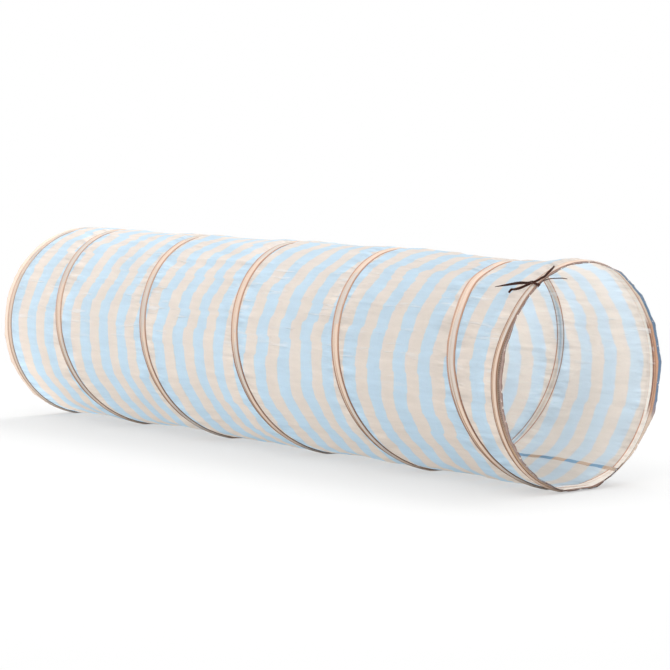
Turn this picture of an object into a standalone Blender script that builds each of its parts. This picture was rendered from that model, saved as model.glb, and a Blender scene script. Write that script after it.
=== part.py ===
"""A pop-up play tunnel for children, standing on the floor ready to crawl through.

A striped cloth tube is held open by one spring-steel wire that winds round it as a
coil and ends in a closed loop at each mouth. A tape sewn over the wire holds it to the
cloth. Each mouth has a dark hem, and a pair of tie ribbons is knotted on the front one.

Lengths are in metres. The tunnel lies along X with its front mouth at +X, stands on
z = 0 and is centred over the origin. Places on it are given by three numbers: the depth
behind the front mouth, the radius, and an angle that starts at the floor line and
passes the near side (-Y) at 90 degrees, the top at 180 and the far side (+Y) at 270.
"""

import math

import bmesh
import bpy
from mathutils import Matrix, Vector

# The tunnel as a whole
tunnel_length = 1.80
coil_radius = 0.224
mouth_reach = 0.018
mouth_reach_depth = 0.40

# Round the ties the front mouth's tape is drawn forward over the hem, with the cloth and
# the first turn of the coil behind it. The top of the first turn also hangs lower.
drawn_length = 0.0122
drawn_full_depth = 0.12
drawn_end_depth = 0.42
drawn_rise = (math.radians(93), math.radians(130))
drawn_fall = (math.radians(195), math.radians(225))
top_drop = 0.009
top_drop_rise = (0.0383, 0.16)
top_drop_fall = (0.30, 0.45)
top_drop_share = 0.78

# The wire coil
wire_radius = 0.00125
coil_turns = 5.06
coil_start_angle = math.radians(-38.5)
coil_start_depth = 0.016

# Cloth, tapes and hems
cloth_thickness = 0.0008
fit_gap = 0.0003
tape_width = 0.023
mouth_tape_width = 0.017
ridge_top_width = 0.004
ridge_side_width = 0.004
hem_width = 0.015
seam_width = 0.009
seam_shift = 0.0115
cloth_sag = 0.004
sag_start_depth = 0.045
sag_full_depth = 0.150

# Tie ribbons
ribbon_width = 0.005
ribbon_thickness = 0.001
knot_length = 0.010
knot_width = 0.008
knot_height = 0.006
knot_rounding = 0.002
knot_behind_wire = 0.003
loop_inside_length = 0.020
long_tail_length = 0.085
hooked_tail_length = 0.051
upper_tail_length = 0.068
mouth_tail_length = 0.077

# Where each tail's bends and tip lie from its start, as shares of the tail's length:
# ahead along the tunnel, upward round the mouth, and outward
long_tail_shares = ((-0.38, -0.075, 0.01), (-0.97, -0.23, 0))
hooked_tail_shares = ((-0.355, -0.285, 0), (-0.73, -0.385, -0.01), (-0.765, -0.535, -0.06))
upper_tail_shares = ((0.37, 0.24, -0.01), (0.26, 0.79, -0.055))
mouth_tail_shares = ((0.01, 0.40, -0.15), (0.02, 0.58, -0.27), (0.02, 0.85, -0.50))

# Facets
facets_per_turn = 36
rings_per_section = 4
seam_facet = 32
tie_facet = 14
cutter_overrun = 0.02

sharp_angle = math.radians(30)
facet_angle = math.tau / facets_per_turn
coil_pitch = (tunnel_length - coil_start_depth) / coil_turns

# Layers, from the inside out. Each radius is that of a layer's middle surface.
skin_radius = coil_radius - wire_radius - fit_gap - cloth_thickness / 2
tape_radius = skin_radius + cloth_thickness + fit_gap
ridge_radius = coil_radius + wire_radius + fit_gap + cloth_thickness / 2
inner_hem_radius = skin_radius - cloth_thickness - fit_gap
outer_radius = ridge_radius + cloth_thickness / 2
axis_height = outer_radius * math.cos(facet_angle)

# Depths at the front mouth. The rear mouth has the same, counted from its own edge.
hem_fold_depth = cloth_thickness / 2
skin_edge_depth = cloth_thickness + fit_gap
tape_front_depth = hem_width + fit_gap
loop_wire_depth = tape_front_depth + mouth_tape_width / 2
tape_rear_depth = tape_front_depth + mouth_tape_width
front_x = (tunnel_length - mouth_reach) / 2

# The body that each piece rides on, and the middle of each body
bodies = {}


def coil_depth(angle):
    """The depth of the coil's wire where it passes an angle."""
    return coil_start_depth + coil_pitch * (angle - coil_start_angle) / math.tau


def coil_angle(depth):
    """The angle at which the coil's wire reaches a depth."""
    return coil_start_angle + math.tau * (depth - coil_start_depth) / coil_pitch


# The coil is split into whole turns at the first facet corner past the angle at which its
# tape comes out from under the front mouth's tape. The cloth is split at the same depths.
split_angle = facet_angle * math.ceil(
    coil_angle(tape_rear_depth - tape_width / 2) / facet_angle
)
section_count = int(coil_turns)


def section_start(index):
    """The depth at which a section of the cloth starts. Sections count from 0."""
    if index == 0:
        return 0
    if index == section_count:
        return tunnel_length
    return coil_depth(split_angle + index * math.tau)


def smooth_step(value, low, high):
    """0 below low and 1 above high, with a smooth rise between them."""
    share = min(1, max(0, (value - low) / (high - low)))
    return share * share * (3 - 2 * share)


def place(depth, radius, angle):
    """The point at a depth, radius and angle, before the tunnel settles."""
    return Vector(
        (
            front_x - depth,
            -radius * math.sin(angle),
            axis_height - radius * math.cos(angle),
        )
    )


def facet_share(angle):
    """A facet's distance from the axis at an angle, as a share of its corners'."""
    middle = facet_angle * (math.floor(angle / facet_angle) + 0.5)
    return math.cos(facet_angle / 2) / math.cos(angle - middle)


def drawn_forward(depth, angle):
    """How far a place is drawn forward by the ties."""
    turn = angle % math.tau
    around = smooth_step(turn, *drawn_rise) * (1 - smooth_step(turn, *drawn_fall))
    from_edge = min(1, max(0, depth / hem_width))
    along = from_edge * (1 - smooth_step(depth, drawn_full_depth, drawn_end_depth))
    return drawn_length * around * along


def hanging(depth, angle):
    """How far the top of the tunnel hangs lower, near the first turn of the coil."""
    behind = smooth_step(depth, *top_drop_rise) * (1 - smooth_step(depth, *top_drop_fall))
    return top_drop * behind * smooth_step(-math.cos(angle), top_drop_share, 1)


def settled(point):
    """Where a point of the round, straight tunnel lies once the tunnel stands.

    The cloth draws in between the turns, the two facets at the floor line press flat,
    the front mouth leans, its near side forward, and the ties pull at its upper side.
    """
    depth = front_x - point.x
    across = point.y
    up = point.z - axis_height
    radius = math.hypot(across, up)
    angle = math.atan2(-across, -up)
    from_wire = math.sin((angle - coil_angle(depth)) / 2) ** 2
    end = min(depth, tunnel_length - depth)
    drawn_in = cloth_sag * from_wire * smooth_step(end, sag_start_depth, sag_full_depth)
    new_radius = radius - drawn_in - hanging(depth, angle)
    if abs(angle) < facet_angle:
        new_radius *= math.cos(facet_angle) / math.cos(angle) / facet_share(angle)
    lean = 1 - smooth_step(depth, tape_rear_depth, mouth_reach_depth)
    forward = mouth_reach * lean * -across / outer_radius + drawn_forward(depth, angle)
    return Vector(
        (
            point.x + forward,
            -new_radius * math.sin(angle),
            axis_height - new_radius * math.cos(angle),
        )
    )


def clear_scene():
    """Removes everything that is in the scene."""
    for item in list(bpy.data.objects):
        bpy.data.objects.remove(item, do_unlink=True)
    for item in list(bpy.data.collections):
        bpy.data.collections.remove(item)


def new_collection(name, hidden):
    """A collection in the scene, hidden from renders if it holds cutters."""
    collection = bpy.data.collections.new(name)
    collection.hide_render = hidden
    bpy.context.scene.collection.children.link(collection)
    return collection


def new_material(name, colour, roughness, metallic=0.0):
    """A plain material of one colour."""
    material = bpy.data.materials.new(name)
    material.use_nodes = True
    shader = material.node_tree.nodes["Principled BSDF"]
    shader.inputs["Base Color"].default_value = (*colour, 1)
    shader.inputs["Roughness"].default_value = roughness
    shader.inputs["Metallic"].default_value = metallic
    return material


def add_object(name, data, material, collection):
    """A new object that holds the given mesh or curve."""
    item = bpy.data.objects.new(name, data)
    collection.objects.link(item)
    if material:
        data.materials.append(material)
    return item


def add_body(name, depth, collection):
    """An empty on the tunnel's axis that carries the pieces which move together."""
    empty = bpy.data.objects.new(name, None)
    empty.location = place(depth, 0, 0)
    collection.objects.link(empty)
    bodies[name] = empty


def chain_mesh(name, points):
    """A mesh of points joined in a row by edges."""
    mesh = bpy.data.meshes.new(name)
    edges = [(i, i + 1) for i in range(len(points) - 1)]
    mesh.from_pydata([tuple(p) for p in points], edges, [])
    return mesh


def add_solidify(item, thickness):
    """Gives a surface its thickness, half to each side."""
    modifier = item.modifiers.new("Thickness", "SOLIDIFY")
    modifier.thickness = thickness
    modifier.offset = 0
    modifier.use_even_offset = True


def turned_cloth(name, profile, start_angle, steps, pitch, material, collection):
    """Cloth turned round the axis from a profile of (depth, radius) points.

    With a pitch it climbs like a thread and stops a fitting gap short of its next turn.
    """
    points = [Vector((radius, 0, depth)) for depth, radius in profile]
    item = add_object(name, chain_mesh(name, points), material, collection)
    inward = Matrix(((0, 0, -1), (0, -1, 0), (-1, 0, 0))).to_4x4()
    turn = Matrix.Rotation(start_angle, 4, "Z")
    item.matrix_world = Matrix.Translation(place(0, 0, 0)) @ inward @ turn
    angle = steps * facet_angle
    if pitch:
        angle -= fit_gap / coil_radius
    screw = item.modifiers.new("Turn", "SCREW")
    screw.axis = "Z"
    screw.angle = angle
    screw.screw_offset = pitch * angle / math.tau
    screw.steps = steps
    screw.render_steps = steps
    screw.use_merge_vertices = not pitch
    screw.merge_threshold = fit_gap / 3
    add_solidify(item, cloth_thickness)
    return item


def ridged_profile(middle_depth, width):
    """The section of a tape: flat at both edges, and raised in a ridge over the wire."""
    top = ridge_top_width / 2
    foot = top + ridge_side_width
    edge = width / 2
    return [
        (middle_depth - edge, tape_radius),
        (middle_depth - foot, tape_radius),
        (middle_depth - top, ridge_radius),
        (middle_depth + top, ridge_radius),
        (middle_depth + foot, tape_radius),
        (middle_depth + edge, tape_radius),
    ]


def mirrored(profile):
    """The same profile at the rear mouth."""
    return [(tunnel_length - depth, radius) for depth, radius in profile]


def wire(name, angles, depths, closed, material, collection):
    """A round wire through points at the coil's radius."""
    curve = bpy.data.curves.new(name, "CURVE")
    curve.dimensions = "3D"
    curve.bevel_depth = wire_radius
    curve.bevel_resolution = 1
    curve.use_fill_caps = not closed
    spline = curve.splines.new("POLY")
    spline.points.add(len(angles) - 1)
    for point, angle, depth in zip(spline.points, angles, depths):
        point.co = (*place(depth, coil_radius * facet_share(angle), angle), 1)
    spline.use_cyclic_u = closed
    return add_object(name, curve, material, collection)


def facet_angles(start, stop):
    """The start and stop angles, and every facet corner between them."""
    first = math.floor(start / facet_angle) + 1
    last = math.ceil(stop / facet_angle) - 1
    return [start, *(i * facet_angle for i in range(first, last + 1)), stop]


def add_mouth(end, mirror, materials, collection):
    """The loop of wire, the tape over it and the hem of one mouth."""
    seat = mirrored if mirror else list
    (loop_depth, _), = seat([(loop_wire_depth, coil_radius)])
    corners = [i * facet_angle for i in range(facets_per_turn)]
    depths = [loop_depth] * facets_per_turn
    loop = wire(f"{end}_loop_wire", corners, depths, True, materials["steel"], collection)
    tape = turned_cloth(
        f"{end}_loop_tape",
        seat(ridged_profile(loop_wire_depth, mouth_tape_width)),
        0,
        facets_per_turn,
        0,
        materials["tape"],
        collection,
    )
    hem_profile = [
        (hem_width, tape_radius),
        (hem_fold_depth, tape_radius),
        (hem_fold_depth, inner_hem_radius),
        (hem_width, inner_hem_radius),
    ]
    hem = turned_cloth(
        f"{end}_hem",
        seat(hem_profile),
        0,
        facets_per_turn,
        0,
        materials["hem"],
        collection,
    )
    return [loop, tape, hem]


def coil_turn_wire(index, material, collection):
    """One turn of the coil's wire. The first and last stop at the mouths' tapes."""
    start = split_angle + index * math.tau
    stop = start + math.tau
    half_gap = fit_gap / 2 / coil_radius
    clear = tape_rear_depth + fit_gap + wire_radius
    start = coil_angle(clear) if index == 0 else start + half_gap
    if index == section_count - 1:
        stop = coil_angle(tunnel_length - clear)
    else:
        stop -= half_gap
    angles = facet_angles(start, stop)
    depths = [coil_depth(angle) for angle in angles]
    return wire(f"coil_wire_{index + 1}", angles, depths, False, material, collection)


def end_cutter(name, low, high, collection):
    """A block round the tunnel from one depth to another, which trims a tape."""
    bpy.ops.mesh.primitive_cube_add(size=1)
    cutter = bpy.context.object
    cutter.name = name
    side = 2 * (outer_radius + cutter_overrun)
    cutter.location = place((low + high) / 2, 0, 0)
    cutter.scale = (high - low, side, side)
    bpy.ops.object.transform_apply(location=False, rotation=False, scale=True)
    for owner in list(cutter.users_collection):
        owner.objects.unlink(cutter)
    collection.objects.link(cutter)
    cutter.hide_render = True
    cutter.display_type = "WIRE"
    return cutter


def trim(item, cutter):
    """Cuts away what lies inside the cutter."""
    modifier = item.modifiers.new("Trim", "BOOLEAN")
    modifier.operation = "DIFFERENCE"
    modifier.solver = "EXACT"
    modifier.object = cutter


def coil_turn_tape(index, material, collection, cutters):
    """One turn of the tape over the coil, trimmed where it meets a mouth's tape."""
    start = split_angle + index * math.tau
    steps = facets_per_turn
    if index == section_count - 1:
        stop = coil_angle(tunnel_length - tape_rear_depth + tape_width / 2)
        steps = math.ceil((stop - start) / facet_angle)
    item = turned_cloth(
        f"coil_tape_{index + 1}",
        ridged_profile(coil_depth(start), tape_width),
        start,
        steps,
        coil_pitch,
        material,
        collection,
    )
    if index == 0:
        trim(item, cutters["front"])
    if index == section_count - 1:
        trim(item, cutters["rear"])
    return item


def section_depths(index, first, last):
    """Evenly spaced depths through a section, with the ends given for the mouths."""
    start = section_start(index)
    stop = section_start(index + 1) - fit_gap
    if index == 0:
        start = first
    if index == section_count - 1:
        stop = tunnel_length - last
    step = (stop - start) / rings_per_section
    return [start + i * step for i in range(rings_per_section + 1)]


def skin_section(index, material, collection):
    """A length of the cloth tube."""
    depths = section_depths(index, skin_edge_depth, skin_edge_depth)
    profile = [(depth, skin_radius) for depth in depths]
    name = f"skin_{index + 1}"
    return turned_cloth(name, profile, 0, facets_per_turn, 0, material, collection)


def facet_strip(name, profile, facet, shift, width, thickness, material, collection):
    """A flat strip that runs along (depth, radius) points on a facet, shifted round the
    tunnel from the facet's middle."""
    angle = (facet + 0.5) * facet_angle
    flat = math.cos(facet_angle / 2)
    side = Vector((0, -math.cos(angle), math.sin(angle)))
    start = side * (shift - width / 2)
    points = [place(depth, radius * flat, angle) + start for depth, radius in profile]
    return ribbon(name, points, side * width, thickness, material, collection)


def ribbon(name, points, side, thickness, material, collection):
    """A flat ribbon: a row of points spread sideways, with a thickness."""
    mesh = chain_mesh(name, points)
    shape = bmesh.new()
    shape.from_mesh(mesh)
    spread = bmesh.ops.extrude_edge_only(shape, edges=shape.edges[:])
    corners = [v for v in spread["geom"] if isinstance(v, bmesh.types.BMVert)]
    bmesh.ops.translate(shape, verts=corners, vec=side)
    shape.to_mesh(mesh)
    shape.free()
    item = add_object(name, mesh, material, collection)
    add_solidify(item, thickness)
    return item


def seam_strip(index, material, collection):
    """The folded seam allowance on the inside of a section, on its far side."""
    clear = hem_width + fit_gap
    depths = section_depths(index, clear, clear)
    profile = [(depth, inner_hem_radius) for depth in depths]
    name = f"seam_{index + 1}"
    return facet_strip(
        name,
        profile,
        seam_facet,
        seam_shift,
        seam_width,
        cloth_thickness,
        material,
        collection,
    )


def add_ties(material, collection):
    """The tie ribbons: a loop through the hem, the knot on the tape and four tails."""
    angle = (tie_facet + 0.5) * facet_angle
    flat = math.cos(facet_angle / 2)
    ahead = Vector((1, 0, 0))
    round_way = Vector((0, -math.cos(angle), math.sin(angle)))
    outward = Vector((0, -math.sin(angle), -math.cos(angle)))
    knot_radius = outer_radius * flat + fit_gap + knot_height / 2
    knot_depth = loop_wire_depth + knot_behind_wire
    knot_at = place(knot_depth, knot_radius, angle)

    bpy.ops.mesh.primitive_cube_add(size=1)
    knot = bpy.context.object
    knot.name = "tie_knot"
    knot.scale = (knot_length, knot_width, knot_height)
    bpy.ops.object.transform_apply(location=False, rotation=False, scale=True)
    basis = Matrix((ahead, round_way, ahead.cross(round_way))).transposed()
    knot.matrix_world = Matrix.Translation(knot_at) @ basis.to_4x4()
    knot.data.materials.append(material)
    for owner in list(knot.users_collection):
        owner.objects.unlink(knot)
    collection.objects.link(knot)
    rounding = knot.modifiers.new("Rounding", "BEVEL")
    rounding.width = knot_rounding
    rounding.segments = 2

    half = ribbon_thickness / 2
    above = tape_radius + cloth_thickness / 2 + fit_gap + half
    below = inner_hem_radius - cloth_thickness / 2 - fit_gap - half
    front = -fit_gap - half
    knot_front = knot_depth - knot_length / 2 - fit_gap
    loop_points = [
        (knot_front, outer_radius + fit_gap + knot_height / 2),
        ((knot_front + hem_width) / 2, outer_radius + fit_gap + half),
        (hem_width / 2, above + half),
        (front, above),
        (front, below),
        (loop_inside_length, below),
    ]
    loop = facet_strip(
        "tie_loop",
        loop_points,
        tie_facet,
        0,
        ribbon_width,
        ribbon_thickness,
        material,
        collection,
    )
    rim = place(-ribbon_width / 2 - fit_gap, above, angle)
    clear = fit_gap + half
    past_loop = round_way * (ribbon_width / 2 + clear)
    starts = {
        "long": knot_at - ahead * (knot_length / 2 + clear),
        "hooked": knot_at - round_way * (knot_width / 2 + clear),
        "upper": knot_at + ahead * (knot_length / 2 + clear) + past_loop,
        "mouth": rim + past_loop,
    }
    directions = (ahead, round_way, outward)
    return [knot, loop, *add_tails(starts, directions, material, collection)]


def add_tails(starts, directions, material, collection):
    """The four free tails of the ribbons, each bent on its way."""
    ahead, round_way, outward = directions
    routes = [
        ("long", long_tail_length, long_tail_shares, outward),
        ("hooked", hooked_tail_length, hooked_tail_shares, outward),
        ("upper", upper_tail_length, upper_tail_shares, outward),
        ("mouth", mouth_tail_length, mouth_tail_shares, ahead),
    ]
    tails = []
    for name, length, shares, side in routes:
        spread = side * ribbon_width
        points = [starts[name] - spread / 2]
        for along, up_round, out in shares:
            move = ahead * along + round_way * up_round + outward * out
            points.append(points[0] + move * length)
        tails.append(
            ribbon(f"tie_tail_{name}", points, spread, ribbon_thickness, material, collection)
        )
    return tails


def finish_piece(item, body):
    """Settles a piece's shape, and puts the piece on the body that carries it."""
    graph = bpy.context.evaluated_depsgraph_get()
    mesh = bpy.data.meshes.new_from_object(item.evaluated_get(graph))
    mesh.transform(item.matrix_world)
    shape = bmesh.new()
    shape.from_mesh(mesh)
    bmesh.ops.remove_doubles(shape, verts=shape.verts[:], dist=fit_gap / 10)
    for vertex in shape.verts:
        vertex.co = settled(vertex.co)
    shape.to_mesh(mesh)
    shape.free()
    mesh.shade_smooth()
    mesh.set_sharp_from_angle(angle=sharp_angle)
    name = item.name
    owner = item.users_collection[0]
    material = item.data.materials[0]
    bpy.data.objects.remove(item, do_unlink=True)
    mesh.name = name
    mesh.materials.clear()
    mesh.transform(Matrix.Translation(-bodies[body].location))
    piece = add_object(name, mesh, material, owner)
    piece.parent = bodies[body]


def report_least_gap():
    """Prints how near the coil's wire comes to itself, measured on its points."""
    first = coil_angle(tape_rear_depth)
    last = coil_angle(tunnel_length - tape_rear_depth)
    angles = facet_angles(first, last)
    points = [place(coil_depth(a), coil_radius, a) for a in angles]
    near = facets_per_turn // 4
    least = min(
        (points[i] - points[j]).length
        for i in range(len(points))
        for j in range(i + near, len(points))
    )
    print(f"least gap of the coil to itself: {least - 2 * wire_radius:.4f} m")


def build():
    """Models the whole tunnel."""
    clear_scene()
    parts = new_collection("play_tunnel", False)
    tools = new_collection("cutters", True)
    materials = {
        "skin": new_material("striped_cloth", (0.62, 0.70, 0.76), 0.75),
        "seam": new_material("seam_cloth", (0.45, 0.52, 0.58), 0.75),
        "tape": new_material("coil_tape", (0.70, 0.55, 0.47), 0.7),
        "hem": new_material("hem_tape", (0.16, 0.09, 0.06), 0.7),
        "steel": new_material("spring_steel", (0.45, 0.46, 0.48), 0.35, 1.0),
        "ribbon": new_material("tie_ribbon", (0.07, 0.035, 0.025), 0.65),
    }
    trim_depth = tape_rear_depth + fit_gap
    cutters = {
        "front": end_cutter("front_cutter", -tape_width, trim_depth, tools),
        "rear": end_cutter(
            "rear_cutter", tunnel_length - trim_depth, tunnel_length + tape_width, tools
        ),
    }
    add_body("front_mouth", 0, parts)
    add_body("rear_mouth", tunnel_length, parts)
    pieces = []
    for end in ("front", "rear"):
        for item in add_mouth(end, end == "rear", materials, parts):
            pieces.append((item, f"{end}_mouth"))
    for item in add_ties(materials["ribbon"], parts):
        pieces.append((item, "front_mouth"))
    for index in range(section_count):
        body = f"section_{index + 1}"
        add_body(body, (section_start(index) + section_start(index + 1)) / 2, parts)
        pieces.append((skin_section(index, materials["skin"], parts), body))
        pieces.append((seam_strip(index, materials["seam"], parts), body))
        pieces.append((coil_turn_wire(index, materials["steel"], parts), body))
        pieces.append((coil_turn_tape(index, materials["tape"], parts, cutters), body))
    bpy.context.view_layer.update()
    for item, body in pieces:
        finish_piece(item, body)
    report_least_gap()


build()
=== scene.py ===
"""The looks of a pop-up play tunnel, built around its CAD model.

Lengths are in metres. A place on the tunnel is given by its depth behind the front
mouth, its radius, and an angle that starts at the floor line and passes the near side
(-Y) at 90 degrees, the top at 180 and the far side (+Y) at 270.
"""

from functools import partial
from math import atan, cos, pi, radians, sin, tau

import bmesh
import bpy
import numpy as np
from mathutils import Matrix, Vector


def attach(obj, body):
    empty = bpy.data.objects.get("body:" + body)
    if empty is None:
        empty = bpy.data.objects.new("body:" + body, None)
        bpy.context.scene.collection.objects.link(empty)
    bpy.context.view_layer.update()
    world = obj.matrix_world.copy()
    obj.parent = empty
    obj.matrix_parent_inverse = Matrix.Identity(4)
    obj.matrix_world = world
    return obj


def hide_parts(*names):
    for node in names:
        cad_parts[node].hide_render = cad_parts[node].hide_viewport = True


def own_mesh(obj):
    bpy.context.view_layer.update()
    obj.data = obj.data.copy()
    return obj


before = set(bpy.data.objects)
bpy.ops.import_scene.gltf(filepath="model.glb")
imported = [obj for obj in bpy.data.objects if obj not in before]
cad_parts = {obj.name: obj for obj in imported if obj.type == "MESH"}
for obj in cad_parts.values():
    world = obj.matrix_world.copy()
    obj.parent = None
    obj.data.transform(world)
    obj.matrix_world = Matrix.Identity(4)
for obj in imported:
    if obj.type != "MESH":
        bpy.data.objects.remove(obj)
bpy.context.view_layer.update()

# Sizes that the CAD model has too
TUNNEL_LENGTH = 1.80
COIL_RADIUS = 0.224
MOUTH_REACH = 0.018
MOUTH_REACH_DEPTH = 0.40
DRAWN_LENGTH = 0.0122
DRAWN_FULL_DEPTH = 0.12
DRAWN_END_DEPTH = 0.42
DRAWN_RISE = (radians(93), radians(130))
DRAWN_FALL = (radians(195), radians(225))
TOP_DROP = 0.009
TOP_DROP_RISE = (0.0383, 0.16)
TOP_DROP_FALL = (0.30, 0.45)
TOP_DROP_SHARE = 0.78
WIRE_RADIUS = 0.00125
COIL_TURNS = 5.06
COIL_START_ANGLE = radians(-38.5)
COIL_START_DEPTH = 0.016
TAPE_WIDTH = 0.023
MOUTH_TAPE_WIDTH = 0.017
HEM_WIDTH = 0.015
FIT_GAP = 0.0003
CLOTH_SAG = 0.004
SAG_START_DEPTH = 0.045
SAG_FULL_DEPTH = 0.150
SKIN_RADIUS = 0.22205
TAPE_RADIUS = 0.22315
OUTER_RADIUS = 0.22635
FLAT_ANGLE = radians(10)
AXIS_HEIGHT = OUTER_RADIUS * cos(FLAT_ANGLE)
FRONT_X = (TUNNEL_LENGTH - MOUTH_REACH) / 2
COIL_PITCH = (TUNNEL_LENGTH - COIL_START_DEPTH) / COIL_TURNS
LOOP_DEPTH = HEM_WIDTH + FIT_GAP + MOUTH_TAPE_WIDTH / 2
TAPE_REAR_DEPTH = HEM_WIDTH + FIT_GAP + MOUTH_TAPE_WIDTH
SPLIT_ANGLE = radians(-30)
SEAM_ANGLE = radians(329.7)
SEAM_WIDTH = 0.009
TIE_ANGLE = radians(145)
KNOT_DEPTH = LOOP_DEPTH + 0.003
KNOT_RADIUS = 0.2292
SECTIONS = 5

# The fold: what lies between these two planes flattens, the two mouths stay as they are
FOLD_FRONT_X = 0.835
FOLD_REAR_X = -0.868
FOLD_CUTS = {
    0: (FOLD_FRONT_X, True, "front_mouth"),
    SECTIONS - 1: (FOLD_REAR_X, False, "rear_mouth"),
}

# The finer sizes of the cloth
SKIN_HALF = 0.0003
STRIPE_PERIOD = 0.0764
STRIPE_START = 0.0340
STRIPE_PULL = 0.0065
STRIPE_PULL_RISE = (radians(135), radians(158))
COLUMNS = 480
HEM_COUNT = 540
LOOP_COUNT = 360
SKIN_STEP = 0.004
CLOTH_RIM = 0.0011
PUCKER_HEIGHT = 0.0050
CREASE_HEIGHT = 0.0044
BROAD_HEIGHT = 0.0022
CRUMPLE_HEIGHT = 0.0022
FACET_HEIGHT = 0.0026
LOW_CREASE_DEPTH = 0.0060
TOP_RISE = 0.0050
EDGE_FLARE = 0.0018
EDGE_TURN_IN = 0.0065
SEAM_END = 0.0154
RIBBON_THICKNESS = 0.0007

# Rows of a hem's section: on its outer and inner faces, and on the faces to the cloth
HEM_STEPS = (0.0030, 0.0060, 0.0090, 0.0120, 0.0148)
LINING_STEPS = (0.0022, 0.0080, 0.0146)

# The angles, in degrees, at which the hems' free edges have their corners
FRONT_CORNERS = np.array(
    [0, 17, 33, 47, 62, 78, 92, 107, 124, 138, 151, 168, 187, 208, 228, 245.5, 266, 292]
    + [316, 338, 360]
)
REAR_CORNERS = np.array(
    [0, 22, 41, 66, 84, 109, 128, 150, 171, 196, 214, 238, 262, 281, 305, 327, 345, 360]
)

# The tie ribbons: depth, radius, angle and width in millimetres and degrees, and the
# side's shares of the ways outward, round the tube and ahead
RIBBONS = {
    "tail_long": (
        (29.0, 229.2, 145.0, 4.6, 1, 0, 0), (37.0, 229.6, 144.4, 5.6, 1, 0, 0),
        (54.5, 229.8, 144.0, 6.0, 1, 0.3, 0), (74.0, 230.0, 142.9, 5.4, 1, 0, 0),
        (92.6, 230.2, 141.6, 3.6, 1, 0.4, 0), (115.0, 230.2, 140.1, 0.8, 1, 0, 0),
    ),
    "tail_hooked": (
        (27.5, 229.2, 144.2, 4.4, 1, 0, 0), (36.2, 229.6, 142.0, 5.0, 1, 0, 0),
        (44.9, 229.8, 140.3, 5.2, 1, 0.4, 0), (56.2, 229.8, 139.3, 5.0, 1, 0, 0),
        (64.0, 229.8, 139.0, 4.8, 1, 0, 0), (66.4, 229.0, 137.0, 3.6, 1, 0, -0.5),
    ),
    "tail_upper": (
        (21.5, 229.2, 145.6, 4.4, 1, 0, 0), (12.0, 229.4, 147.2, 4.6, 1, 0, 0),
        (2.0, 229.4, 148.8, 4.4, 1, 0, 0), (-3.6, 229.6, 150.2, 4.4, 1, 0, 0),
        (-3.7, 230.6, 152.8, 4.6, 1, 0, -0.4), (-3.0, 231.6, 155.8, 4.4, 1, 0, -0.4),
        (3.2, 232.6, 159.2, 3.4, 1, 0, 0),
    ),
    "tail_mouth": (
        (-1.4, 224.0, 146.4, 3.6, 1, 0, 1), (-1.8, 222.8, 149.0, 3.2, 1, 0, 1),
        (-2.2, 216.4, 153.8, 2.8, 1, 0, 1), (-2.8, 210.0, 157.7, 2.4, 1, 0, 1),
        (-3.2, 203.8, 161.9, 2.2, 1, 0, 1), (-3.2, 198.6, 165.1, 1.0, 1, 0, 1),
    ),
    "loop": (
        (23.5, 229.2, 145.0, 4.4, 0, 1, 0), (18.0, 228.0, 145.0, 5.0, 0, 1, 0),
        (10.0, 225.4, 145.2, 5.4, 0, 1, 0), (2.0, 225.0, 145.4, 5.6, 0, 1, 0),
        (-1.6, 222.2, 145.6, 5.6, 0, 1, 0), (3.0, 219.5, 145.6, 5.0, 0, 1, 0),
        (12.0, 219.8, 145.5, 5.0, 0, 1, 0), (20.0, 220.2, 145.5, 4.6, 0, 1, 0),
    ),
}

# The studio: the sky's strength at the horizon and overhead, the lamps with the ways
# that they shine and their strengths, and the camera
FLOOR_HALF = 30
SKY_STRENGTH = (1.12, 1.64)
SUNS = (
    ("key", (0.25, -0.55, -1.0), 1.25),
    ("front_fill", (-0.35, 0.6, -0.8), 0.42),
)
SUN_SOFTNESS = radians(30)
CAMERA_PLACE = (4.95582, -3.7032, 0.75698)
CAMERA_YAW = radians(-52.6762)
CAMERA_PITCH = radians(-4.7247)
CAMERA_LENS = 153.1


def smooth_step(value, low, high):
    share = np.clip((value - low) / (high - low), 0, 1)
    return share * share * (3 - 2 * share)


def between(value, rise, fall):
    """1 between a smooth rise and a smooth fall, each given by its two limits."""
    return smooth_step(value, *rise) * (1 - smooth_step(value, *fall))


def once_round(count):
    """Evenly spaced angles round a full turn."""
    return np.arange(count) / count * tau


def coil_depth(angle):
    return COIL_START_DEPTH + COIL_PITCH * (angle - COIL_START_ANGLE) / tau


def coil_angle(depth):
    return COIL_START_ANGLE + tau * (depth - COIL_START_DEPTH) / COIL_PITCH


def drawn_forward(depth, angle):
    """How far the cloth round the ties is drawn forward."""
    around = between(np.mod(angle, tau), DRAWN_RISE, DRAWN_FALL)
    from_edge = np.clip(depth / HEM_WIDTH, 0, 1)
    along = from_edge * (1 - smooth_step(depth, DRAWN_FULL_DEPTH, DRAWN_END_DEPTH))
    return DRAWN_LENGTH * around * along


def hanging(depth, angle):
    """How far the top of the tunnel hangs lower, near the first turn of the coil."""
    there = between(depth, TOP_DROP_RISE, TOP_DROP_FALL)
    return TOP_DROP * there * smooth_step(-np.cos(angle), TOP_DROP_SHARE, 1)


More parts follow.
